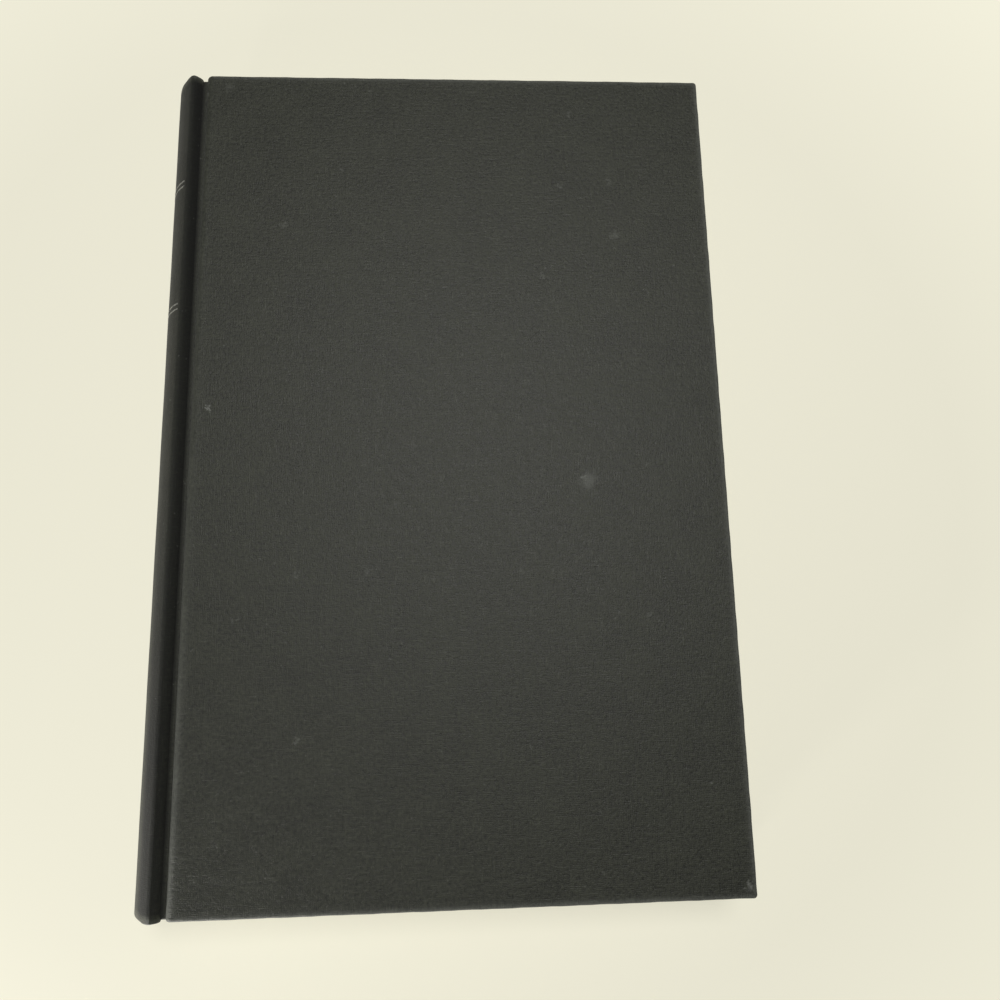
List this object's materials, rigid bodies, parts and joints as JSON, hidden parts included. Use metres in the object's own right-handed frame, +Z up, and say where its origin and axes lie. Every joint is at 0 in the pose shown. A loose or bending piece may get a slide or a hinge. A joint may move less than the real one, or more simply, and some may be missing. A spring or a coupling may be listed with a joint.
{
  "type": "hardback book",
  "caption": "Closed hardback book in dark cloth: round back, grooved joints, hinged covers, headbands and double metallic rules on the spine.",
  "frame": {"origin": "middle of the book's footprint, on the surface that its back cover lies on", "axes": "+X from the spine to the fore edge, +Y from tail to head, +Z up through the front cover"},
  "size_m": [0.1614, 0.237, 0.031],
  "materials": {
    "covering_cloth": "fine-woven charcoal book cloth, matt",
    "leaves": "trimmed book paper, warm off-white",
    "endpaper": "plain heavy paper, warm off-white",
    "mull": "open-weave sized cotton",
    "lining_paper": "brown lining paper",
    "card": "bending card",
    "board": "grey binder's board",
    "headband": "sewn cotton band, dark and pale stripes",
    "foil": "worn silver stamping foil"
  },
  "bodies": {
    "text_block": {"text_block": "leaves", "front_flyleaf": "endpaper", "back_flyleaf": "endpaper", "spine_mull": "mull", "spine_lining": "lining_paper", "spine_card": "card", "head_band": "headband", "tail_band": "headband", "spine_cloth": "covering_cloth", "foil_rules": "foil"},
    "front_cover": {"front_board": "board", "front_cloth": "covering_cloth", "front_mull_flange": "mull", "front_pastedown": "endpaper"},
    "back_cover": {"back_board": "board", "back_cloth": "covering_cloth", "back_mull_flange": "mull", "back_pastedown": "endpaper"}
  },
  "joints": [
    {"name": "front_cover_hinge", "type": "hinge", "parent": "text_block", "child": "front_cover", "pos_m": [-0.06963, 0, 0.0309], "axis": [0, -1, 0], "range_deg": [0, 178]},
    {"name": "back_cover_hinge", "type": "hinge", "parent": "text_block", "child": "back_cover", "pos_m": [-0.06963, 0, 0.0001], "axis": [0, 1, 0], "range_deg": [0, 178]}
  ]
}
